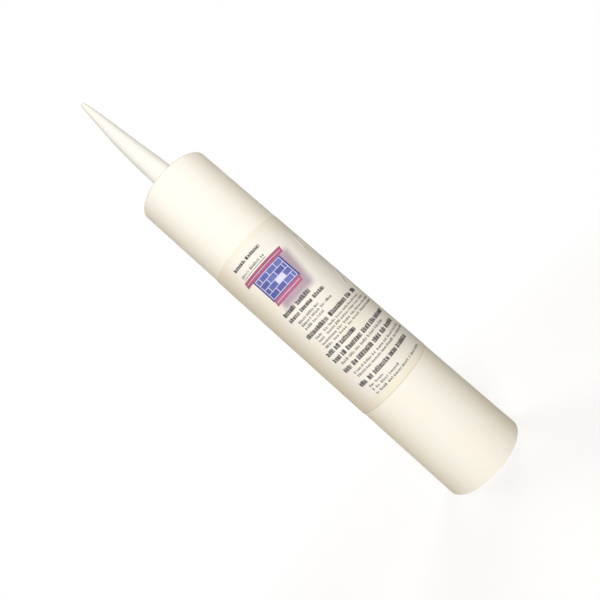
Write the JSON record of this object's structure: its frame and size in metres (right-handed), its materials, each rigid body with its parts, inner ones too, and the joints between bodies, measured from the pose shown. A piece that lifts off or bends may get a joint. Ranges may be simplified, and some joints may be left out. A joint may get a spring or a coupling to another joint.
{
  "type": "refractory patch tube",
  "caption": "One-piece plastic cartridge of patching compound, with a closed tapered nozzle, a wrapped paper label and a plunger that slides up the bore.",
  "frame": {"origin": "centre of the rear rim, on the plane that the cartridge stands on", "axes": "+Z along the cartridge's axis towards the nozzle's tip; -Y is the front, from which the label's first lines are read; the label's free edge is on -X"},
  "size_m": [0.0488, 0.0486, 0.296],
  "materials": {
    "cartridge_plastic": "smooth moulded polyethylene, cream white, slightly silky",
    "plunger_plastic": "smooth moulded polyethylene, natural white",
    "compound": "thick wet mineral paste",
    "label_paper": null
  },
  "bodies": {
    "cartridge": {"cartridge_body": "cartridge_plastic", "compound": "compound", "label": "label_paper"},
    "follower": {"plunger": "plunger_plastic"}
  },
  "joints": [
    {"name": "plunger_slide", "type": "slide", "parent": "cartridge", "child": "follower", "axis": [0, 0, 1], "range_m": [0, 0.184], "deforming": ["compound"]}
  ]
}
